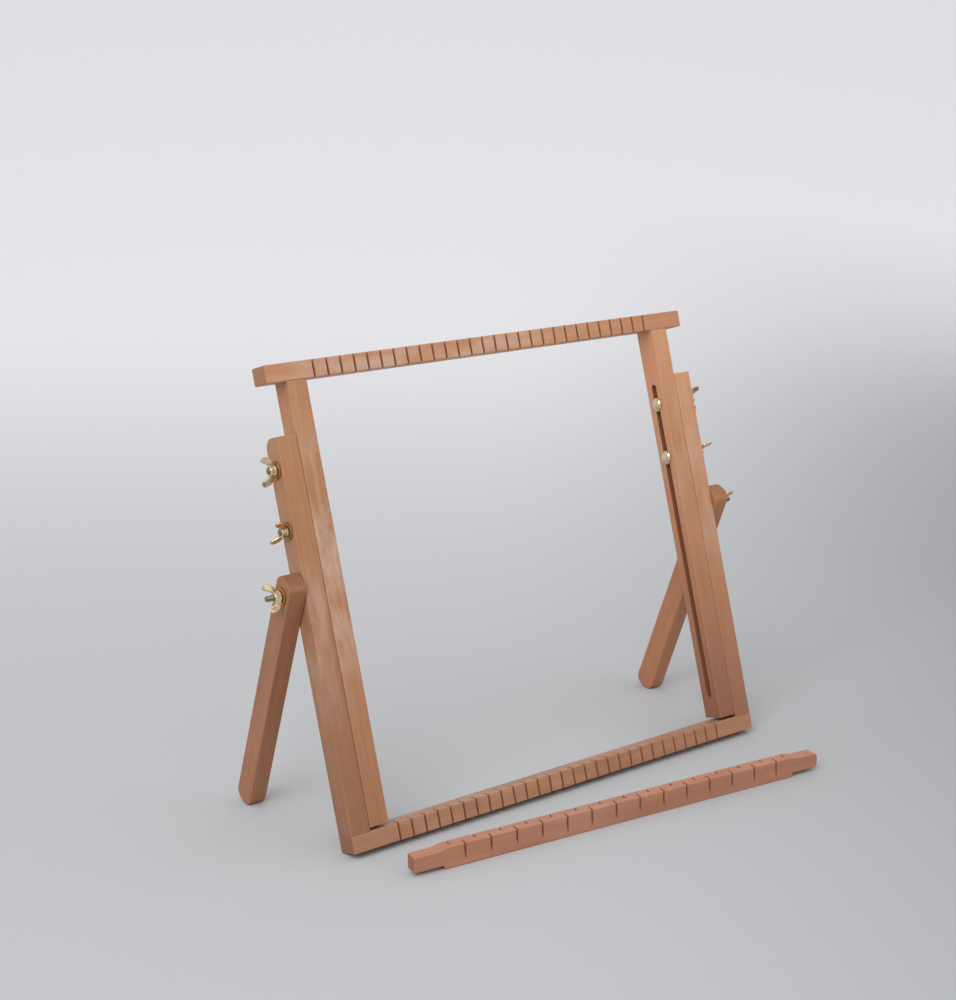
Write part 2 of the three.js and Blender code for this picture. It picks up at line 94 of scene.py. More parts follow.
# The separator's front outline in millimetres, and its turn on the table in degrees
SEPARATOR_LENGTH = 404
SEPARATOR_DEPTH = 12
SEPARATOR_HEIGHT = 19
SEPARATOR_KERFS = 29
SEPARATOR_PITCH = 12
SEPARATOR_DROP = 14.5
SEPARATOR_REACH = 7
SEPARATOR_SHOULDER = 19
SEPARATOR_SWEEP = 13
SEPARATOR_STEP = 27
SEPARATOR_STEP_ROUND = 2
SEPARATOR_TOP_CUT = 2
SEPARATOR_UNDER_CUT = 3.5
SEPARATOR_RIGHT_ROUND = 4
SEPARATOR_LEFT_ROUND = 1.5
SEPARATOR_TURN = -6.5

# Fasteners in millimetres
BOLT_RADIUS = 2.5
BOLT_PLAY = 0.3
BOLT_HEAD_RADIUS = 6.5
BOLT_HEAD_HEIGHT = 3.2
BOLT_HEAD_RECESS = 4
BOLT_DOME_MARGIN = 0.35
NECK_SIDE = 5
NECK_LENGTH = 3.5
THREAD_LENGTH = 22
THREAD_DEPTH = 0.42
THREAD_RUNOUT = 1.2
THREAD_TIP = 0.5
CORE_INSET_START = 0.22
CORE_INSET_END = 0.4
WASHER_RADIUS = 7.5
WASHER_THICKNESS = 1.2
NUT_HEIGHT = 5.5
NUT_PLAY = 0.25
HUB_FOOT_RADIUS = 5.2
HUB_TOP_RADIUS = 4.2
HUB_CHAMFER = 0.5
WING_THICKNESS = 2.2
WING_TIP = (9.9, 9.4)
WING_TIP_RADIUS = 2.6
WING_REACH = WING_TIP[0] + WING_TIP_RADIUS
WING_ROOT = 3.3
WING_HOLLOW = 5.4
CASTING_GRAIN = 0.22
DOWEL_LENGTH = 24
DOWEL_RADIUS = 3.0
DOWEL_CHAMFER = 0.8
DOWEL_SHOULDER = 1.4
FLUTES = 14
FLUTE_DEPTH = 0.12

# A wing's thickness at the nut's axis and its loss out to the tip, as shares of the one named above
WING_SWELL = 1.15
WING_TAPER = 0.5

# Working: how far a cutter or a fused part reaches past a face and how near two places count as one, both
# in millimetres, the angles in degrees from which an edge is rounded or drawn sharp, and a seam's share of
# the rounding
CUTTER_REACH = 2
FUSED_REACH = 0.5
TOUCH = 0.01
ROUNDED_ANGLE = 40
SHARP_ANGLE = 38
SEAM_SHARE = 0.15

# The look of each board: its grain's seed; its shade, partly the board's own tone and partly painted light
# and shade, as in the darker bottom beam; the strength of its pale patches, partly the wood's own and partly
# painted light; the place and reach of the patches along it in metres; and the strength of the painted shade
# that darkens it towards its foot
BOARDS = {
    "top_beam": (3, 0.95, 0.8, (-0.07, 0.22), 0.0),
    "bottom_beam": (8, 0.66, 0.3, (-0.07, 0.22), 0.0),
    "left_inner_upright": (10, 0.82, 1.0, (0.035, 0.13), 0.45),
    "right_inner_upright": (12, 1.12, 0.35, (0.09, 0.13), 1.32),
    "left_outer_upright": (22, 0.82, 0.45, (0.0, 0.08), 0.9),
    "right_outer_upright": (24, 1.16, 0.45, (0.08, 0.14), 1.3),
    "left_leg": (40, 0.88, 0.0, (0.0, 0.1), 0.0),
    "right_leg": (42, 1.1, 0.0, (0.0, 0.1), 0.0),
    "warp_separator": (57, 1.0, 0.15, (0.0, 0.1), 0.0),
    "dowel": (71, 1.0, 0.0, (0.0, 0.1), 0.0),
}

# The pale patches' colour, partly the wood's own and partly painted light; in metres, how far to each side
# of a board's middle the painted shade at its foot fades, where the heart of the tree lay beside it, and how
# far along a bolt its thread turns duller and darker, partly by its own metal and partly by painted shade
PALE_PATCH_AND_PAINTED_LIGHT = (0.62, 0.42, 0.31, 1)
PAINTED_SHADE_FADE = 0.2
TREE_HEART = (-0.03, 0.02)
BOLT_DULL_AND_SHADE_FROM = 0.022

# The camera's place in metres and its turn in degrees, and the picture's size in pixels
PICTURE = (956, 1000)
FOCAL_PIXELS = 1761.4
CENTRE_PIXELS = (497.5, 515.8)
CAMERA_YAW = -35.69
CAMERA_PITCH = 14.91
CAMERA_ROLL = -1.11
CAMERA_OFFSET = (0.0634, 0.2422, 1.5431)

# The sheet under the loom in metres: where it leaves the level behind the loom and on the other sides, how
# far it runs on from there, and the depth that sets how gently it rises; and where the lamps are aimed
SWEEP_START = 2.0
SWEEP_RUN = 6.25
TABLE_END = 20.0
TABLE_RUN = 6.5
SWEEP_DEPTH = 6.0
LAMP_AIM = Vector((0, 0, 0.15))

JOINTS = {joint["name"]: joint for joint in frame["joints"]}
PIVOT = Vector(JOINTS["left_leg_pivot"]["pos_m"])
UP = Vector(JOINTS["frame_extension"]["axis"]).normalized()
BACK = Vector((0, UP.z, -UP.y))
ACROSS = Vector((1, 0, 0))


# Places and outlines


def evenly(start, length, steps):
    """Evenly spaced numbers from start over a length, both ends included."""
    return [start + length * step / steps for step in range(steps + 1)]


def eased(share):
    """A share from 0 to 1, or a signal of such shares, that leaves and reaches its ends gently."""
    return share * share * (3 - share * 2)


def laid(along, sideways, upwards):
    """The turn that lays a piece's X, Y and Z along three directions."""
    return Matrix((along, sideways, upwards)).transposed().to_4x4()


def leaning(along, sideways, upwards, x, back, up):
    """A placement in the leaning frame: three axes and a point in millimetres."""
    spot = PIVOT + ACROSS * x * MM + BACK * (back - STOCK_DEPTH / 2) * MM + UP * (up - LEG_PIVOT_HEIGHT) * MM
    return Matrix.Translation(spot) @ laid(along, sideways, upwards)


def outwards(side):
    """The turn that points a fastener's X axis away from the middle of the loom."""
    return laid(ACROSS * side, BACK * side, UP)


def fittings(ending):
    """Each node of one kind in order, the side that it is on and its box's two corners."""
    for node in sorted(frame["nodes"]):
        if node.endswith(ending):
            low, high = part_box(node)
            yield node, SIDES[node.split("_")[0]], low, high


def corner(centre, radius, start, turn=90, steps=6):
    """The points of an arc from a start angle in degrees."""
    angles = [math.radians(angle) for angle in evenly(start, turn, steps)]
    return [Vector((centre[0] + radius * math.cos(a), centre[1] + radius * math.sin(a))) for a in angles]


def curve(start, bend, end, steps):
    """The points of a curve from start to end that sets off towards bend and arrives from it."""
    start, bend, end = Vector(start), Vector(bend), Vector(end)
    shares = evenly(0, 1, steps)
    return [start * (1 - share) ** 2 + bend * 2 * share * (1 - share) + end * share ** 2 for share in shares]


def board_outline(length, depth, radii=(0, 0, 0, 0), steps=8):
    """The outline of a board lying along X, one radius for each corner, anticlockwise from front right."""
    half_x, half_y = length / 2, depth / 2
    points = []
    for index, radius in enumerate(radii):
        x = half_x if index in (0, 1) else -half_x
        y = half_y if index in (1, 2) else -half_y
        if radius:
            centre = (x - math.copysign(radius, x), y - math.copysign(radius, y))
            points += corner(centre, radius, (index - 1) * 90, 90, steps)
        else:
            points.append(Vector((x, y)))
    return points


# Meshes


def meshed(shape, name):
    """Turns a finished shape into a mesh."""
    mesh = bpy.data.meshes.new(name)
    shape.to_mesh(mesh)
    shape.free()
    return mesh


def new_object(name, data):
    """An object of a mesh, lamp or camera, in the scene."""
    made = bpy.data.objects.new(name, data)
    bpy.context.scene.collection.objects.link(made)
    return made


def prism(points, thickness):
    """A mesh of an outline in the XY plane, given its thickness about Z = 0, all in millimetres."""
    shape = bmesh.new()
    levels = (-thickness / 2, thickness / 2)
    low, high = ([shape.verts.new((x * MM, y * MM, z * MM)) for x, y in points] for z in levels)
    shape.faces.new(reversed(low))
    shape.faces.new(high)
    for index in range(len(points)):
        following = (index + 1) % len(points)
        shape.faces.new((low[index], low[following], high[following], high[index]))
    return meshed(shape, "outline")


def boxes(specs):
    """One mesh of many loose blocks, each a centre and a size."""
    shape = bmesh.new()
    for centre, size in specs:
        matrix = Matrix.Translation(Vector(centre) * MM) @ Matrix.Diagonal((*(Vector(size) * MM), 1))
        bmesh.ops.create_cube(shape, size=1, matrix=matrix)
    return meshed(shape, "blocks")


def rod(radius, length, centre=(0, 0, 0), sides=40):
    """A plain round cutter along Z."""
    shape = bmesh.new()
    matrix = Matrix.Translation(Vector(centre) * MM)
    bmesh.ops.create_cone(shape, cap_ends=True, segments=sides, radius1=radius * MM, radius2=radius * MM,
                          depth=length * MM, matrix=matrix)
    return meshed(shape, "rod")


def swept(radius_at, stations, sides):
    """A closed mesh along X whose radius follows a rule of angle and station, in millimetres."""
    shape = bmesh.new()
    rings = []
    for station in stations:
        ring = []
        for side in range(sides):
            angle = TURN * side / sides
            radius = radius_at(angle, station) * MM
            ring.append(shape.verts.new((station * MM, radius * math.cos(angle), radius * math.sin(angle))))
        rings.append(ring)
    shape.faces.new(reversed(rings[0]))
    shape.faces.new(rings[-1])
    for low, high in zip(rings, rings[1:]):
        for side in range(sides):
            following = (side + 1) % sides
            shape.faces.new((low[side], low[following], high[following], high[side]))
    bmesh.ops.recalc_face_normals(shape, faces=shape.faces)
    return meshed(shape, "swept")


def turned(profile, sides=48):
    """A closed mesh along X from a profile of (station, radius) pairs, in millimetres."""
    shape = bmesh.new()
    line = [shape.verts.new((station * MM, radius * MM, 0)) for station, radius in profile]
    edges = [shape.edges.new(pair) for pair in zip(line, line[1:])]
    bmesh.ops.spin(shape, geom=line + edges, cent=(0, 0, 0), axis=(1, 0, 0), angle=TURN, steps=sides,
                   use_merge=True)
    bmesh.ops.remove_doubles(shape, verts=shape.verts, dist=TOUCH * MM)
    bmesh.ops.recalc_face_normals(shape, faces=shape.faces)
    return meshed(shape, "turned")


def joined(meshes):
    """One mesh of several closed ones."""
    shape = bmesh.new()
    for mesh in meshes:
        shape.from_mesh(mesh)
        bpy.data.meshes.remove(mesh)
    return meshed(shape, "joined")


def weigh_edges(mesh, at_seam=None):
    """Gives each sharp edge a full share of the rounding, and those that at_seam picks a small one."""
    shape = bmesh.new()
    shape.from_mesh(mesh)
    share = shape.edges.layers.float.new("bevel_weight_edge")
    for edge in shape.edges:
        if edge.calc_face_angle(0) < math.radians(ROUNDED_ANGLE):
            continue
        seam = at_seam and all(at_seam(vertex.co.x / MM) for vertex in edge.verts)
        edge[share] = SEAM_SHARE if seam else 1.0
    shape.to_mesh(mesh)
    shape.free()


def worked(mesh, edge=0.0, cutters=(), at_seam=None):
    """Rounds a mesh's sharp edges by edge metres, cuts it, and returns the finished mesh."""
    for blank in (mesh, *cutters):
        for place in range(2):
            blank.materials.append(None)
    body = new_object("blank", mesh)
    if edge:
        weigh_edges(mesh, at_seam)
        rounding = body.modifiers.new("rounding", "BEVEL")
        rounding.width = edge
        rounding.segments = 3
        rounding.limit_method = "WEIGHT"
    tools = []
    for cutter in cutters:
        for polygon in cutter.polygons:
            polygon.material_index = 1
        tool = new_object("cutter", cutter)
        cut = body.modifiers.new("cut", "BOOLEAN")
        cut.operation = "DIFFERENCE"
        cut.solver = "EXACT"
        cut.object = tool
        tools.append(tool)
    made = baked(body)
    made.polygons.foreach_set("use_smooth", [True] * len(made.polygons))
    made.set_sharp_from_angle(angle=math.radians(SHARP_ANGLE))
    body.modifiers.clear()
    body.data = made
    weighting = body.modifiers.new("weighting", "WEIGHTED_NORMAL")
    weighting.keep_sharp = True
    final = baked(body)
    for item in (body, *tools):
        bpy.data.objects.remove(item)
    return final


def baked(body):
    """The mesh of an object with its modifiers applied."""
    bpy.context.view_layer.update()
    graph = bpy.context.evaluated_depsgraph_get()
    settled = body.evaluated_get(graph)
    return bpy.data.meshes.new_from_object(settled, preserve_all_data_layers=True, depsgraph=graph)


def add_piece(name, mesh, matrix, body, node, slot, *finishes):
    """Puts a piece in the scene in place of its solid, on its body and with its finishes."""
    piece = new_object(name, mesh)
    piece.matrix_world = matrix
    for place in range(len(mesh.materials)):
        mesh.materials[place] = finishes[min(place, len(finishes) - 1)]
    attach(piece, body)
    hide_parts(node)
    return piece


# Materials


def feed(tree, socket, value):
    """Sets a socket to a value, or links it."""
    if isinstance(value, Signal):
        tree.links.new(value.socket, socket)
    else:
        socket.default_value = value


class Signal:
    """An output that varies over a surface; sums on it add Math nodes."""

    def __init__(self, tree, socket):
        self.tree = tree
        self.socket = socket

    def _sum(self, operation, *terms, clamp=False):
        node = self.tree.nodes.new("ShaderNodeMath")
        node.operation = operation
        node.use_clamp = clamp
        for socket, term in zip(node.inputs, terms):
            feed(self.tree, socket, term)
        return Signal(self.tree, node.outputs[0])

    def __add__(self, other):
        return self._sum("ADD", self, other)

    __radd__ = __add__

    def __mul__(self, other):
        return self._sum("MULTIPLY", self, other)

    __rmul__ = __mul__

    def __sub__(self, other):
        return self._sum("SUBTRACT", self, other)

    def __rsub__(self, other):
        return self._sum("SUBTRACT", other, self)

    def sine(self):
        return self._sum("SINE", self)

    def size(self):
        return self._sum("ABSOLUTE", self)

    def power(self, exponent):
        return self._sum("POWER", self, exponent)

    def larger(self, other):
        return self._sum("MAXIMUM", self, other)

    def between(self, low, high):
        """0 below low, 1 above high, and even between them."""
        return self._sum("MULTIPLY", self - low, 1 / (high - low), clamp=True)


def distance(first, second):
    """How far a point is from the middle, from its two coordinates."""
    return (first * first + second * second).power(0.5)


class Nodes:
    """A node tree being filled."""

    def __init__(self, tree):
        self.tree = tree

    def node(self, kind, settings=(), sockets=(), output=0):
        """Adds a node, sets it, feeds its sockets and returns one of its outputs."""
        made = self.tree.nodes.new(kind)
        for name, value in dict(settings).items():
            setattr(made, name, value)
        for name, value in dict(sockets).items():
            feed(self.tree, made.inputs[name], value)
        return Signal(self.tree, made.outputs[output])

    def parts(self, vector):
        """The three numbers of a vector."""
        return [self.node("ShaderNodeSeparateXYZ", {}, {"Vector": vector}, axis) for axis in "XYZ"]

    def mix(self, factor, first, second):
        """A colour mixed from two by a factor; the node's sockets 6 and 7 take colours and 2 gives one."""
        return self.node("ShaderNodeMix", {"data_type": "RGBA"}, {0: factor, 6: first, 7: second}, 2)


class Finish(Nodes):
    """A material being made, and the nodes behind its surface."""

    def __init__(self, name):
        self.material = bpy.data.materials.new(name)
        self.material.use_nodes = True
        super().__init__(self.material.node_tree)
        self.surface = self.tree.nodes["Principled BSDF"]

    def place(self):
        """The piece's own coordinates, in metres."""
        return self.node("ShaderNodeTexCoord", output="Object")

    def facing(self):
        """The surface's direction in the piece's own axes, as three numbers."""
        normal = self.node("ShaderNodeTexCoord", output="Normal")
        return [part.size() for part in self.parts(normal)]

    def noise(self, scale, shift, detail=3.0, roughness=0.5):
        """Noise in the piece's coordinates, scaled along each axis in cycles per metre."""
        moved = {"Vector": self.place(), "Location": shift, "Scale": scale}
        spot = self.node("ShaderNodeMapping", {}, moved)
        sockets = {"Vector": spot, "Scale": 1.0, "Detail": detail, "Roughness": roughness}
        return self.node("ShaderNodeTexNoise", {}, sockets, "Fac")

    def bump(self, strength, depth, height):
        """Fine relief, its depth in metres."""
        return self.node("ShaderNodeBump", {}, {"Strength": strength, "Distance": depth, "Height": height})

    def set(self, **values):
        """Feeds the surface's own sockets, named with underscores for spaces."""
        for name, value in values.items():
            feed(self.tree, self.surface.inputs[name.replace("_", " ")], value)
        return self.material


def tint(colour, factor, warmth=0.0, rose=0.0):
    """A colour made lighter or darker, warmer or cooler, and rosier."""
    red, green, blue = colour[:3]
    return (red * factor * (1 + warmth), green * factor * (1 - rose), blue * factor * (1 - warmth), 1)


def beech(name, colour, seed, pale_and_painted_light, pale, foot):
    """Sanded beech: broad bands, figure, fine fibres, short ray flecks, edges lightened partly by wear and
    partly as a painted highlight, darker end grain, painted shade towards its foot, and pale patches partly
    its own and partly painted light.
    """
    finish = Finish(name)
    pick = random.Random(seed)
    shift = [pick.uniform(-40, 40) for _ in range(3)]

    def shifted(by):
        return [value + by for value in shift]

    wander = finish.noise((4, 50, 50), shift, 2.0)
    cloud = finish.noise((8, 40, 40), shifted(7), 3.0, 0.6)
    streak = finish.noise((7, 330, 330), shifted(-5), 3.0, 0.6)
    fibre = finish.noise((30, 1500, 1500), shift, 4.0, 0.62)
    pore = finish.noise((330, 2600, 2600), shift, 2.0, 0.6)
    along, back, up = finish.parts(finish.place())
    bands = ((back * 620 + up * pick.uniform(250, 480) + wander * 34).sine() + 1) * 0.5
    facing = finish.facing()
    end = facing[0].between(0.55, 0.8)
    worn_and_highlit = 1 - facing[0].larger(facing[1]).larger(facing[2])
    fleck = pore.between(0.60, 0.68)

    base = finish.mix(cloud.between(0.32, 0.68), tint(colour, 0.84, 0.02), tint(colour, 1.10, 0.0))
    base = finish.mix(bands.power(2.0) * cloud.between(0.3, 0.6) * 0.42, base, tint(colour, 0.70, 0.07))
    base = finish.mix(streak.between(0.5, 0.72) * 0.40, base, tint(colour, 0.68, 0.05))
    base = finish.mix(fibre.between(0.35, 0.75) * 0.26, base, tint(colour, 1.25, -0.02))
    base = finish.mix(fleck * 0.40, base, tint(colour, 0.55, 0.04))
    # Painted shade: the board darkens towards its foot, where less light falls.
    if foot:
        low = 1 - along.between(-PAINTED_SHADE_FADE, PAINTED_SHADE_FADE)
        base = finish.mix(low * foot, base, tint(colour, 0.38, 0.0, 0.14))
    # Pale patches: partly the wood's own paler blotches and partly painted light.
    if pale_and_painted_light:
        place, reach = pale
        patch = finish.noise((20, 66, 66), shifted(-11), 5.0, 0.62).between(0.40, 0.64)
        near = 1 - (along - place).size().between(reach * 0.4, reach)
        base = finish.mix(patch * near * pale_and_painted_light * (0.55 + fibre * 0.7), base, PALE_PATCH_AND_PAINTED_LIGHT)
    rings = (distance(back - TREE_HEART[0], up - TREE_HEART[1]) * 5200 + wander * 6).sine()
    base = finish.mix(end * 0.75, base, tint(colour, 0.62, 0.05))
    base = finish.mix(end * rings.between(-0.2, 1) * 0.35, base, tint(colour, 0.42, 0.05))
    # Edges: the rounded edges are lightened, partly by wear and partly as a painted highlight.
    base = finish.mix(worn_and_highlit.between(0.06, 0.28) * 0.30, base, tint(colour, 1.35, -0.05))
    return finish.set(
        Base_Color=base,
        Roughness=0.42 + cloud * 0.12 + fleck * 0.1 + end * 0.18,
        Normal=finish.bump(0.22, 0.00012, fibre * 0.6 - fleck * 0.5 + end * pore * 0.8),
        Coat_Weight=0.06,
        Coat_Roughness=0.32,
        Specular_IOR_Level=0.35,
    )


def board_wood(name, colour, painted_foot_shade=0.0, warmth=0.0, rose=0.0):
    """The beech of one board or kind of board."""
    seed, shade, pale_and_painted_light, pale, foot = BOARDS[name]
    # The shade holds the board's own tone and also painted light and shade.
    return beech(name + "_wood", tint(colour, shade, warmth, rose), seed, pale_and_painted_light, pale, foot * painted_foot_shade)


def sawn(name, colour):
    """The walls of a cut: darker, rough, with fine tooth marks; made at its first use. In slots and bores
    the darker colour is painted shade.
    """
    if name in bpy.data.materials:
        return bpy.data.materials[name]
    finish = Finish(name)
    marks = finish.noise((240, 900, 3800), (3, 1, 2))
    return finish.set(
        Base_Color=finish.mix(marks.between(0.3, 0.7), tint(colour, 0.75), tint(colour, 1.2)),
        Roughness=0.8,
        Normal=finish.bump(0.3, 0.0001, marks),
        Specular_IOR_Level=0.1,
    )


def bright_metal(name, colour, dull_and_shade, roughness, grain, tarnish=0.5, dull_and_shade_from=0.0):
    """Bright plated metal: cloudy polish, fine scratches, and from a station outwards a duller, darker
    thread, partly its own metal and partly painted shade; with that station, a mottled painted shade also
    darkens the head towards its rim.
    """
    finish = Finish(name)
    cloud = finish.noise((210, 210, 210), (1, 4, 2))
    scratch = finish.noise(grain, (5, 2, 8), 3.0, 0.7)
    base = finish.mix(cloud.between(0.42, 0.62) * tarnish, tint(colour, 1.0), tint(dull_and_shade, 1.0))
    base = finish.mix(scratch.between(0.6, 0.75) * 0.25, base, tint(colour, 1.15))
    if dull_and_shade_from:
        along, back, up = finish.parts(finish.place())
        # A duller, darker thread: partly its own metal and partly painted shade.
        base = finish.mix(along.between(dull_and_shade_from, dull_and_shade_from + 0.001) * 0.8, base, tint(dull_and_shade, 0.55, -0.15))
        # Painted shade: a mottled darkening of the bolt head towards its rim.
        rim = distance(back, up).between((BOLT_RADIUS + BOLT_PLAY) * MM, BOLT_HEAD_RADIUS * MM)
        base = finish.mix(rim * (0.1 + cloud * 0.8), base, tint(dull_and_shade, 0.9))
    return finish.set(
        Base_Color=base,
        Metallic=1.0,
        Roughness=roughness + cloud * 0.14 + scratch * 0.08,
        Normal=finish.bump(0.15, 0.00005, scratch + cloud * 0.5),
    )


# Settings


class LoomTimber(bpy.types.PropertyGroup):
    """The timber's colours and its small sizes."""

    frame_colour: bpy.props.FloatVectorProperty(
        name="Frame", description="Colour of beams and uprights",
        subtype="COLOR", default=(0.608, 0.285, 0.137))
    leg_colour: bpy.props.FloatVectorProperty(
        name="Legs", description="Colour of the two legs",
        subtype="COLOR", default=(0.430, 0.183, 0.089))
    separator_colour: bpy.props.FloatVectorProperty(
        name="Separator", description="Colour of the warp separator",
        subtype="COLOR", default=(0.46, 0.205, 0.122))
    dowel_colour: bpy.props.FloatVectorProperty(
        name="Dowels", description="Colour of the hidden dowels",
        subtype="COLOR", default=(0.62, 0.40, 0.24))
    kerf_colour: bpy.props.FloatVectorProperty(
        name="Kerfs", description="Colour inside the saw cuts",
        subtype="COLOR", default=(0.50, 0.225, 0.125))
    # Painted shade: slots and bores get a darker colour that stands for the shade inside them.
    slot_painted_shade_colour: bpy.props.FloatVectorProperty(
        name="Slots", description="Colour inside slots and bores",
        subtype="COLOR", default=(0.335, 0.128, 0.066))
    # Painted shade: how much the uprights darken towards their feet, where less light falls.
    painted_foot_shade: bpy.props.FloatProperty(
        name="Foot shade", description="How much darker the uprights are at their feet", default=0.75)
    edge: bpy.props.FloatProperty(
        name="Edge", description="Radius of the sanded edges", unit="LENGTH", default=0.0009, precision=5)
    kerf_width: bpy.props.FloatProperty(
        name="Kerf width", description="Width of the saw cuts", unit="LENGTH", default=0.002, precision=5)


class LoomMetal(bpy.types.PropertyGroup):
    """The fasteners' colours and their thread."""

    brass_colour: bpy.props.FloatVectorProperty(
        name="Brass", description="Colour of washers and wing nuts",
        subtype="COLOR", default=(0.90, 0.73, 0.46))
    # Used for duller brass and also for painted shade on the bolts' threads and heads and on the washers.
    dull_and_shade_colour: bpy.props.FloatVectorProperty(
        name="Dull brass", description="Colour where the polish is gone",
        subtype="COLOR", default=(0.36, 0.225, 0.105))
    bolt_colour: bpy.props.FloatVectorProperty(
        name="Bolts", description="Colour of the bolts' plating",
        subtype="COLOR", default=(0.90, 0.76, 0.50))
    thread_pitch: bpy.props.FloatProperty(
        name="Thread pitch", description="Travel of the thread in one turn",
        unit="LENGTH", default=0.0008, precision=5)


class LoomStage(bpy.types.PropertyGroup):
    """The table, the backdrop and the light."""

    near_colour: bpy.props.FloatVectorProperty(
        name="Near table", description="Colour of the table near the camera",
        subtype="COLOR", default=(0.500, 0.510, 0.525))
    middle_colour: bpy.props.FloatVectorProperty(
        name="Table", description="Colour of the table under the loom",
        subtype="COLOR", default=(0.505, 0.515, 0.53))
    far_colour: bpy.props.FloatVectorProperty(
        name="Backdrop", description="Colour of the backdrop",
        subtype="COLOR", default=(0.88, 0.88, 0.905))
    low_sky_colour: bpy.props.FloatVectorProperty(
        name="Low light", description="Colour of the surrounding light from below",
        subtype="COLOR", default=(0.36, 0.36, 0.37))
    key_power: bpy.props.FloatProperty(
        name="Key light", description="Power of the large lamp", unit="POWER", default=65.0)
    fill_power: bpy.props.FloatProperty(
        name="Fill light", description="Power of the opposite lamp", unit="POWER", default=5.0)
    sky_strength: bpy.props.FloatProperty(
        name="Surrounding light", description="Strength of the light from all around", default=0.92)


# Pieces


class LOOM_OT_beams(bpy.types.Operator):
    """Makes the two kerfed cross beams"""

    bl_idname = "loom.beams"
    bl_label = "Beams"

    def execute(self, context):
        timber = context.scene.loom_timber
        size = (timber.kerf_width / MM, KERF_DEPTH + CUTTER_REACH, BEAM_HEIGHT + 2 * CUTTER_REACH)
        back = (KERF_DEPTH - CUTTER_REACH - STOCK_DEPTH) / 2
        middle = (KERF_COUNT - 1) / 2
        for name, body, low in (("top_beam", "upper_frame", INNER_HEAD), ("bottom_beam", "lower_frame", 0)):
            blank = prism(board_outline(LOOM_WIDTH, STOCK_DEPTH), BEAM_HEIGHT)
            slits = boxes([(((index - middle) * KERF_PITCH, back, 0), size) for index in range(KERF_COUNT)])
            mesh = worked(blank, timber.edge, [slits])
            matrix = leaning(ACROSS, BACK, UP, 0, STOCK_DEPTH / 2, low + BEAM_HEIGHT / 2)
            wood = board_wood(name, timber.frame_colour, warmth=-0.03, rose=0.02)
            kerf_wood = sawn("sawn_kerf", timber.kerf_colour)
            add_piece(name + "_beech", mesh, matrix, body, name, "frame_beech", wood, kerf_wood)
        return {"FINISHED"}


class LOOM_OT_inner_uprights(bpy.types.Operator):
    """Makes the two slotted uprights of the sliding frame"""

    bl_idname = "loom.inner_uprights"
    bl_label = "Inner uprights"

    def execute(self, context):
        timber = context.scene.loom_timber
        length = INNER_HEAD - INNER_FOOT
        middle = (INNER_HEAD + INNER_FOOT) / 2
        slot_outline = board_outline(SLOT_HIGH - SLOT_LOW, SLOT_WIDTH, [SLOT_WIDTH / 2] * 4, 10)
        for name, side in SIDES.items():
            blank = prism(board_outline(length, STOCK_DEPTH), UPRIGHT_THICKNESS)
            slot = prism(slot_outline, UPRIGHT_THICKNESS + 2 * CUTTER_REACH)
            slot.transform(Matrix.Translation((((SLOT_HIGH + SLOT_LOW) / 2 - middle) * MM, 0, 0)))
            mesh = worked(blank, timber.edge, [slot], lambda x: x > length / 2 - TOUCH)
            matrix = leaning(UP, BACK, -ACROSS, side * INNER_MIDDLE, STOCK_DEPTH / 2, middle)
            node = name + "_inner_upright"
            wood = board_wood(node, timber.frame_colour, timber.painted_foot_shade)
            # The slot walls take a darker colour, a painted shade.
            painted_shade_bore = sawn("painted_shade_bore", timber.slot_painted_shade_colour)
            add_piece(node + "_beech", mesh, matrix, "upper_frame", node, "frame_beech", wood, painted_shade_bore)
        return {"FINISHED"}


class LOOM_OT_outer_uprights(bpy.types.Operator):
    """Makes the two fixed uprights that the frame slides in"""

    bl_idname = "loom.outer_uprights"
    bl_label = "Outer uprights"

    def execute(self, context):
        timber = context.scene.loom_timber
        length = OUTER_TOP - OUTER_FOOT
        middle = (OUTER_TOP + OUTER_FOOT) / 2
        for name, side in SIDES.items():
            blank = prism(board_outline(length, STOCK_DEPTH, (0, OUTER_TOP_ROUND, 0, 0)), UPRIGHT_THICKNESS)
            cutters = [
                rod(BOLT_RADIUS + BOLT_PLAY, UPRIGHT_THICKNESS + 2 * CUTTER_REACH, (height - middle, 0, 0))
                for height in (*CLAMP_HEIGHTS, LEG_PIVOT_HEIGHT)
            ]
            inner_face = (LEG_PIVOT_HEIGHT - middle, 0, side * UPRIGHT_THICKNESS / 2)
            cutters.append(rod(BOLT_HEAD_RADIUS + BOLT_PLAY, 2 * BOLT_HEAD_RECESS, inner_face))
            mesh = worked(blank, timber.edge, cutters, lambda x: x < TOUCH - length / 2)
            matrix = leaning(UP, BACK, -ACROSS, side * OUTER_MIDDLE, STOCK_DEPTH / 2, middle)
            node = name + "_outer_upright"
            wood = board_wood(node, timber.frame_colour, timber.painted_foot_shade, rose=-0.02)
            painted_shade_bore = sawn("painted_shade_bore", timber.slot_painted_shade_colour)
            add_piece(node + "_beech", mesh, matrix, "lower_frame", node, "frame_beech", wood, painted_shade_bore)
        return {"FINISHED"}


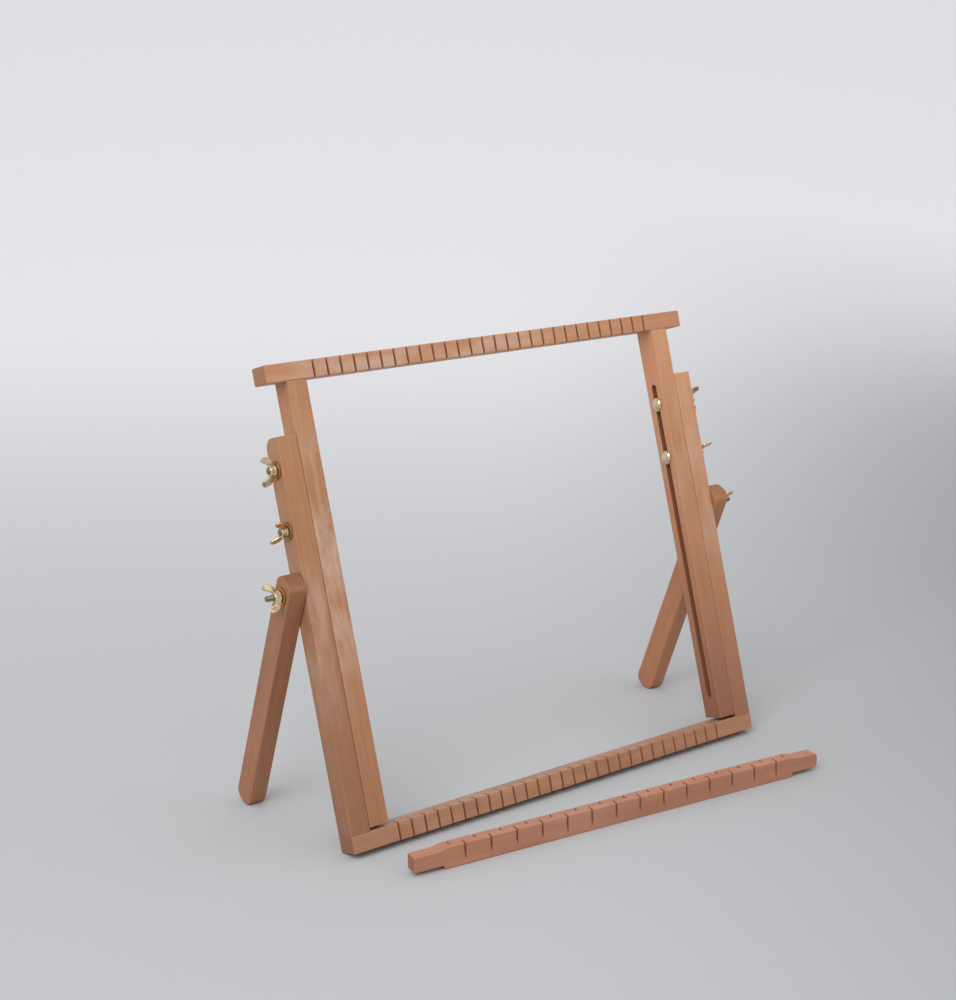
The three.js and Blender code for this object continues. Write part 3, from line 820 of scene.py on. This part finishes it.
class LOOM_OT_legs(bpy.types.Operator):
    """Makes the two folding legs"""

    bl_idname = "loom.legs"
    bl_label = "Legs"

    def execute(self, context):
        timber = context.scene.loom_timber
        slope = math.radians(LEG_SLOPE)
        along = Vector((0, -math.sin(slope), math.cos(slope)))
        behind = Vector((0, along.z, -along.y))
        drop = PIVOT.z / MM - LEG_END_ROUND - (STOCK_DEPTH / 2 - LEG_END_ROUND) * math.sin(slope)
        length = drop / math.cos(slope) + LEG_END_ROUND + LEG_PIVOT_FROM_END
        pivot = length / 2 - LEG_PIVOT_FROM_END
        for name in SIDES:
            node = name + "_leg"
            low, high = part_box(node)
            blank = prism(board_outline(length, STOCK_DEPTH, [LEG_END_ROUND] * 4), LEG_THICKNESS)
            hole = rod(BOLT_RADIUS + BOLT_PLAY, LEG_THICKNESS + 2 * CUTTER_REACH, (pivot, 0, 0))
            mesh = worked(blank, timber.edge, [hole])
            centre = PIVOT - along * pivot * MM
            centre.x = (low.x + high.x) / 2
            matrix = Matrix.Translation(centre) @ laid(along, behind, -ACROSS)
            wood = board_wood(node, timber.leg_colour)
            painted_shade_bore = sawn("painted_shade_bore", timber.slot_painted_shade_colour)
            add_piece(node + "_beech", mesh, matrix, node, node, "leg_beech", wood, painted_shade_bore)
        return {"FINISHED"}


def separator_outline():
    """The separator from the front, about its middle: thinner ends with a swept shoulder and a step."""
    half = SEPARATOR_LENGTH / 2
    step = half - SEPARATOR_STEP
    step_round = SEPARATOR_STEP_ROUND
    top = SEPARATOR_HEIGHT / 2
    end_top = top - SEPARATOR_TOP_CUT
    end_low = SEPARATOR_UNDER_CUT - top
    points = []
    for side, radius in ((1, SEPARATOR_RIGHT_ROUND), (-1, SEPARATOR_LEFT_ROUND)):
        piece = corner((step - step_round, step_round - top), step_round, -90)
        piece.append(Vector((step, end_low)))
        piece += corner((half - radius, end_low + radius), radius, -90)
        piece += corner((half - radius, end_top - radius), radius, 0)
        for share in evenly(0, 1, 12):
            x = half - SEPARATOR_SHOULDER - SEPARATOR_SWEEP * share
            piece.append(Vector((x, end_top + SEPARATOR_TOP_CUT * eased(share))))
        if side < 0:
            piece = [Vector((-point.x, point.y)) for point in reversed(piece)]
        points += piece
    return points


class LOOM_OT_separator(bpy.types.Operator):
    """Makes the loose warp separator with its slanting kerfs"""

    bl_idname = "loom.separator"
    bl_label = "Warp separator"

    def execute(self, context):
        timber = context.scene.loom_timber
        blank = prism(separator_outline(), SEPARATOR_DEPTH)
        blank.transform(Matrix.Rotation(math.pi / 2, 4, "X"))
        slope = SEPARATOR_DROP / SEPARATOR_REACH
        top = SEPARATOR_HEIGHT / 2
        kerfs = []
        for index in range(SEPARATOR_KERFS):
            x = (index - (SEPARATOR_KERFS - 1) / 2) * SEPARATOR_PITCH
            outward = 1 if index % 2 == 0 else -1
            face = outward * SEPARATOR_DEPTH / 2
            outside = face + outward * CUTTER_REACH
            points = [
                Vector((face - outward * (SEPARATOR_REACH + CUTTER_REACH / slope), top + CUTTER_REACH)),
                Vector((outside, top - SEPARATOR_DROP - CUTTER_REACH * slope)),
                Vector((outside, top + CUTTER_REACH)),
            ]
            if outward < 0:
                points.reverse()
            slit = prism(points, timber.kerf_width / MM)
            slit.transform(Matrix(((0, 0, 1, x * MM), (1, 0, 0, 0), (0, 1, 0, 0), (0, 0, 0, 1))))
            kerfs.append(slit)
        mesh = worked(blank, timber.edge, [joined(kerfs)])
        low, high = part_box("warp_separator")
        centre = (low + high) / 2
        centre.z = SEPARATOR_HEIGHT / 2 * MM
        matrix = Matrix.Translation(centre) @ Matrix.Rotation(math.radians(SEPARATOR_TURN), 4, "Z")
        wood = board_wood("warp_separator", timber.separator_colour)
        kerf_wood = sawn("sawn_kerf", timber.kerf_colour)
        node = "warp_separator"
        add_piece(node + "_beech", mesh, matrix, node, node, "separator_beech", wood, kerf_wood)
        return {"FINISHED"}


def dowel_mesh():
    """A fluted dowel along X with chamfered ends."""

    def fluted(angle, station):
        end = min(station, DOWEL_LENGTH - station)
        flute = FLUTE_DEPTH * (1 + math.cos(angle * FLUTES)) / 2
        return DOWEL_RADIUS - flute - max(0.0, DOWEL_CHAMFER - end)

    near = (0, DOWEL_CHAMFER / 2, DOWEL_CHAMFER, DOWEL_SHOULDER)
    stations = (*near, DOWEL_LENGTH / 2, *(DOWEL_LENGTH - station for station in reversed(near)))
    return worked(swept(fluted, stations, 6 * FLUTES))


class LOOM_OT_dowels(bpy.types.Operator):
    """Makes the eight fluted dowels inside the joints"""

    bl_idname = "loom.dowels"
    bl_label = "Dowels"

    def execute(self, context):
        wood = board_wood("dowel", context.scene.loom_timber.dowel_colour)
        for node, side, low, high in fittings("_dowel"):
            centre = (low + high) / 2 - UP * DOWEL_LENGTH / 2 * MM
            matrix = Matrix.Translation(centre) @ laid(UP, BACK, -ACROSS)
            body = "upper_frame" if "_top_" in node else "lower_frame"
            add_piece(node + "_beech", dowel_mesh(), matrix, body, node, "dowel_beech", wood)
        return {"FINISHED"}


def bolt_head():
    """A domed head that rounds over its rim down to the seat at X = 0."""
    rim = BOLT_HEAD_RADIUS
    top = -BOLT_HEAD_HEIGHT
    dome = (rim ** 2 + BOLT_HEAD_HEIGHT ** 2) / (2 * BOLT_HEAD_HEIGHT)
    angles = evenly(0, math.asin((rim - BOLT_DOME_MARGIN) / dome), 12)
    profile = [(top + dome * (1 - math.cos(angle)), dome * math.sin(angle)) for angle in angles]
    return turned([*profile, (-0.42, rim - 0.02), (-0.2, rim), (-0.05, rim - 0.08), (0, rim - 0.25), (0, 0)])


def bolt_mesh(length, pitch):
    """A carriage bolt along X from its seat: head, square neck, plain shank, and thread up to its length."""
    start = length - THREAD_LENGTH

    def thread(angle, station):
        phase = (station / pitch - angle / TURN) % 1
        groove = THREAD_DEPTH * abs(phase * 2 - 1)
        tip = max(0.0, THREAD_TIP - (length - station)) * 0.8
        runout = min(1.0, max(0.0, station - start) / THREAD_RUNOUT)
        return BOLT_RADIUS - 0.02 - groove * runout - tip

    neck_size = (NECK_LENGTH + FUSED_REACH, NECK_SIDE, NECK_SIDE)
    neck = boxes([(((NECK_LENGTH - FUSED_REACH) / 2, 0, 0), neck_size)])
    core = turned([
        (-FUSED_REACH, 0), (-FUSED_REACH, BOLT_RADIUS),
        (start - THREAD_RUNOUT / 2, BOLT_RADIUS), (start, BOLT_RADIUS - CORE_INSET_START),
        (length - 2 * THREAD_TIP, BOLT_RADIUS - CORE_INSET_END), (length - 2 * THREAD_TIP, 0),
    ])
    stations = evenly(start, THREAD_LENGTH, round(THREAD_LENGTH / pitch * 8))
    return worked(joined([bolt_head(), neck, core, swept(thread, stations, 24)]))


class LOOM_OT_bolts(bpy.types.Operator):
    """Makes the six carriage bolts with domed heads, square necks and cut threads"""

    bl_idname = "loom.bolts"
    bl_label = "Bolts"

    def execute(self, context):
        metal = context.scene.loom_metal
        plating = bright_metal("bolt_plating", metal.bolt_colour, metal.dull_and_shade_colour, 0.14, (90, 3000, 3000),
                               tarnish=0.2, dull_and_shade_from=BOLT_DULL_AND_SHADE_FROM)
        for node, side, low, high in fittings("_bolt"):
            mesh = bolt_mesh((high.x - low.x) / MM - BOLT_HEAD_HEIGHT, metal.thread_pitch / MM)
            centre = (low + high) / 2
            centre.x = low.x + BOLT_HEAD_HEIGHT * MM if side > 0 else high.x - BOLT_HEAD_HEIGHT * MM
            matrix = Matrix.Translation(centre) @ outwards(side)
            add_piece(node + "_plated", mesh, matrix, "lower_frame", node, "plated_bolt", plating)
        return {"FINISHED"}


def washer_mesh():
    """A stamped washer along X, rounded over on its outer face."""
    bore = BOLT_RADIUS + BOLT_PLAY
    rim = WASHER_RADIUS
    top = WASHER_THICKNESS
    return worked(turned([
        (0, bore + 0.15), (0, rim - 0.1), (0.15, rim),
        (top - 0.3, rim), (top - 0.08, rim - 0.12), (top, rim - 0.4),
        (top, bore + 0.3), (top - 0.1, bore), (0.15, bore), (0, bore + 0.15),
    ]))


class LOOM_OT_washers(bpy.types.Operator):
    """Makes the six stamped washers"""

    bl_idname = "loom.washers"
    bl_label = "Washers"

    def execute(self, context):
        dull_and_shade = context.scene.loom_metal.dull_and_shade_colour
        # Washers in a darkened, duller brass: partly their own metal and partly painted shade under the wing
        # nuts.
        brass = bright_metal("washer_brass", tint(dull_and_shade, 1.3), tint(dull_and_shade, 0.8), 0.34, (600, 600, 600))
        for node, side, low, high in fittings("_washer"):
            centre = (low + high) / 2
            centre.x = low.x if side > 0 else high.x
            matrix = Matrix.Translation(centre) @ outwards(side)
            add_piece(node + "_brass", washer_mesh(), matrix, "lower_frame", node, "brass", brass)
        return {"FINISHED"}


def wing_outline():
    """One wing from the side, X outwards and Y away from its seat: flared, with a round tip."""
    under = curve((HUB_FOOT_RADIUS, 1), (WING_REACH - 1, 2), (WING_REACH, WING_TIP[1]), 8)
    tip = corner(WING_TIP, WING_TIP_RADIUS, 0, 144, 8)
    upper = curve(tip[-1], (WING_HOLLOW, NUT_HEIGHT), (WING_ROOT, NUT_HEIGHT - 1), 6)
    return [*under, *tip[1:], *upper[1:], Vector((WING_ROOT, 1))]


def wing_nut_mesh():
    """A cast wing nut along X with its face at X = 0 and its wings in the XZ plane."""
    foot, top = HUB_FOOT_RADIUS, HUB_TOP_RADIUS
    hub = turned([
        (0, 0), (0, foot - HUB_CHAMFER), (HUB_CHAMFER, foot),
        (NUT_HEIGHT - HUB_CHAMFER, top), (NUT_HEIGHT, top - HUB_CHAMFER), (NUT_HEIGHT, 0),
    ], 40)
    outline = wing_outline()
    wings = []
    for side in (1, -1):
        wing = prism(outline, WING_THICKNESS)
        for vertex in wing.vertices:
            vertex.co.z *= WING_SWELL - WING_TAPER * vertex.co.x / (WING_REACH * MM)
        wing.transform(Matrix(((0, 1, 0, 0), (0, 0, side, 0), (side, 0, 0, 0), (0, 0, 0, 1))))
        wings.append(wing)
    body = new_object("blank", joined([hub, *wings]))
    cast = body.modifiers.new("cast", "REMESH")
    cast.mode = "VOXEL"
    cast.voxel_size = CASTING_GRAIN * MM
    cast.use_smooth_shade = True
    smoothing = body.modifiers.new("smoothing", "SMOOTH")
    smoothing.iterations = 4
    solid = baked(body)
    bpy.data.objects.remove(body)
    bore = rod(BOLT_RADIUS + NUT_PLAY, NUT_HEIGHT * 4)
    bore.transform(Matrix.Rotation(math.pi / 2, 4, "Y"))
    return worked(solid, 0, [bore])


class LOOM_OT_wing_nuts(bpy.types.Operator):
    """Makes the six cast wing nuts, each turned as its solid is"""

    bl_idname = "loom.wing_nuts"
    bl_label = "Wing nuts"

    def execute(self, context):
        metal = context.scene.loom_metal
        brass = bright_metal("wing_nut_brass", metal.brass_colour, metal.dull_and_shade_colour, 0.15, (500, 500, 500),
                             tarnish=0.7)
        form = wing_nut_mesh()
        for node, side, low, high in fittings("_wing_nut"):
            centre = Vector(JOINTS[node + "_turn"]["pos_m"])
            centre.x = low.x if side > 0 else high.x
            tips = [vertex.co for vertex in frame["nodes"][node].data.vertices]
            tip = max(tips, key=lambda point: (point - centre).length)
            reach = Vector((0, tip.y - centre.y, tip.z - centre.z)).normalized()
            outward = ACROSS * side
            matrix = Matrix.Translation(centre) @ laid(outward, reach.cross(outward), reach)
            add_piece(node + "_brass", form.copy(), matrix, node, node, "brass", brass, brass)
        return {"FINISHED"}


# Stage


def rise(reach, start):
    """Height of the sheet where it leaves the level in an even curve."""
    return max(0.0, reach - start) ** 2 / SWEEP_DEPTH


def sheet_mesh():
    """A sheet that lies level under the loom and sweeps up behind it and far away on all sides."""
    rim = evenly(TABLE_END, TABLE_RUN, 13)
    before = [-reach for reach in reversed(rim)]
    columns = before + rim
    rows = before + evenly(SWEEP_START, SWEEP_RUN, 25)
    points = [
        (x, y, max(rise(abs(x), TABLE_END), rise(-y, TABLE_END), rise(y, SWEEP_START)))
        for y in rows
        for x in columns
    ]
    width = len(columns)
    faces = [
        (low + left, low + left + 1, low + left + 1 + width, low + left + width)
        for low in range(0, width * (len(rows) - 1), width)
        for left in range(width - 1)
    ]
    mesh = bpy.data.meshes.new("table_sheet")
    mesh.from_pydata(points, [], faces)
    mesh.polygons.foreach_set("use_smooth", [True] * len(mesh.polygons))
    return mesh


def pale_paper(stage):
    """Matt paper: greyer under the loom, with a painted shade darker to its right, pale towards the backdrop
    and all round.
    """
    paper = Finish("pale_paper")
    across, away, _ = paper.parts(paper.place())
    around = distance(across, away)
    tones = (stage.near_colour, stage.middle_colour, stage.far_colour)
    near, middle, distant = ((*tone, 1) for tone in tones)
    colour = paper.mix(eased(away.between(-0.5, 0.25)), near, middle)
    colour = paper.mix(eased(away.between(0.0, 2.6)), colour, distant)
    # Painted shade: the table darker to the loom's right, where less light falls.
    painted_shade_right = eased(across.between(-0.1, 1.0)) * (1 - around.between(0.8, 3.2))
    colour = paper.mix(painted_shade_right, colour, tint(middle, 0.52))
    colour = paper.mix(eased(around.between(2.0, 9.0)), colour, distant)
    return paper.set(Base_Color=colour, Roughness=0.9, Specular_IOR_Level=0.1)


class LOOM_OT_stage(bpy.types.Operator):
    """Makes the pale table and backdrop, the soft lamps and the camera"""

    bl_idname = "loom.stage"
    bl_label = "Stage"

    def execute(self, context):
        stage = context.scene.loom_stage
        self.add_backdrop(stage)
        self.add_light(stage, context.scene)
        self.add_camera(context.scene)
        context.scene.view_settings.view_transform = "Standard"
        return {"FINISHED"}

    def add_backdrop(self, stage):
        """The sheet, turned to lie square to the camera."""
        mesh = sheet_mesh()
        mesh.materials.append(pale_paper(stage))
        sheet = new_object("table_sheet", mesh)
        sheet.rotation_euler = (0, 0, math.radians(CAMERA_YAW))

    def add_light(self, stage, scene):
        """Light from all around, weaker from below, and two large soft lamps."""
        scene.world = bpy.data.worlds.new("even_light")
        scene.world.use_nodes = True
        sky = Nodes(scene.world.node_tree)
        height = sky.parts(sky.node("ShaderNodeTexCoord", output="Generated"))[2]
        background = sky.tree.nodes["Background"]
        background.inputs["Strength"].default_value = stage.sky_strength
        colour = sky.mix(height.between(-0.1, 0.9), (*stage.low_sky_colour, 1), (1, 1, 1, 1))
        feed(sky.tree, background.inputs["Color"], colour)
        for name, power, width, spot in (
            ("key_lamp", stage.key_power, 2.6, (-2.4, -1.4, 2.8)),
            ("fill_lamp", stage.fill_power, 1.8, (1.6, -1.6, 1.1)),
        ):
            lamp = bpy.data.lights.new(name, "AREA")
            lamp.energy = power
            lamp.size = width
            holder = new_object(name, lamp)
            holder.location = spot
            holder.rotation_euler = (LAMP_AIM - Vector(spot)).to_track_quat("-Z", "Y").to_euler()

    def add_camera(self, scene):
        """The camera that sees the loom as in the photograph, placed from the leaning frame's origin."""
        yaw, pitch, roll = (math.radians(value) for value in (CAMERA_YAW, CAMERA_PITCH, CAMERA_ROLL))
        turn = Matrix.Rotation(pitch, 3, "X") @ Matrix.Rotation(yaw, 3, "Y")
        turn = Matrix.Rotation(roll, 3, "Z") @ turn
        seen = turn @ Matrix(((1, 0, 0), (0, 0, -1), (0, 1, 0)))
        origin = PIVOT - BACK * STOCK_DEPTH / 2 * MM - UP * LEG_PIVOT_HEIGHT * MM
        place = Vector((0, origin.y, 0)) - seen.transposed() @ Vector(CAMERA_OFFSET)
        lens = bpy.data.cameras.new("photo_camera")
        lens.sensor_fit = "HORIZONTAL"
        lens.sensor_width = 36
        lens.lens = FOCAL_PIXELS * lens.sensor_width / PICTURE[0]
        lens.shift_x = (PICTURE[0] / 2 - CENTRE_PIXELS[0]) / PICTURE[0]
        lens.shift_y = (CENTRE_PIXELS[1] - PICTURE[1] / 2) / PICTURE[0]
        lens.clip_start = 0.05
        lens.clip_end = 50
        camera = new_object("photo_camera", lens)
        axes = seen.transposed() @ Matrix(((1, 0, 0), (0, -1, 0), (0, 0, -1)))
        camera.matrix_world = Matrix.Translation(place) @ axes.to_4x4()
        scene.camera = camera


class LOOM_PT_panel(bpy.types.Panel):
    """Lists the loom's settings and pieces"""

    bl_label = "Frame loom"
    bl_idname = "LOOM_PT_panel"
    bl_space_type = "VIEW_3D"
    bl_region_type = "UI"
    bl_category = "Loom"

    def draw(self, context):
        layout = self.layout
        for group in (context.scene.loom_timber, context.scene.loom_metal, context.scene.loom_stage):
            column = layout.column()
            for name in group.__annotations__:
                column.prop(group, name)
        for operator in OPERATORS:
            layout.operator(operator.bl_idname)


GROUPS = {"loom_timber": LoomTimber, "loom_metal": LoomMetal, "loom_stage": LoomStage}
OPERATORS = (
    LOOM_OT_stage,
    LOOM_OT_beams,
    LOOM_OT_inner_uprights,
    LOOM_OT_outer_uprights,
    LOOM_OT_legs,
    LOOM_OT_separator,
    LOOM_OT_dowels,
    LOOM_OT_bolts,
    LOOM_OT_washers,
    LOOM_OT_wing_nuts,
)


def register():
    for name, group in GROUPS.items():
        bpy.utils.register_class(group)
        setattr(bpy.types.Scene, name, bpy.props.PointerProperty(type=group))
    for cls in (*OPERATORS, LOOM_PT_panel):
        bpy.utils.register_class(cls)


def unregister():
    for cls in reversed((*OPERATORS, LOOM_PT_panel)):
        bpy.utils.unregister_class(cls)
    for name, group in GROUPS.items():
        delattr(bpy.types.Scene, name)
        bpy.utils.unregister_class(group)


def main():
    """Builds everything in order."""
    register()
    for operator in OPERATORS:
        family, name = operator.bl_idname.split(".")
        getattr(getattr(bpy.ops, family), name)()


if __name__ == "__main__":
    main()
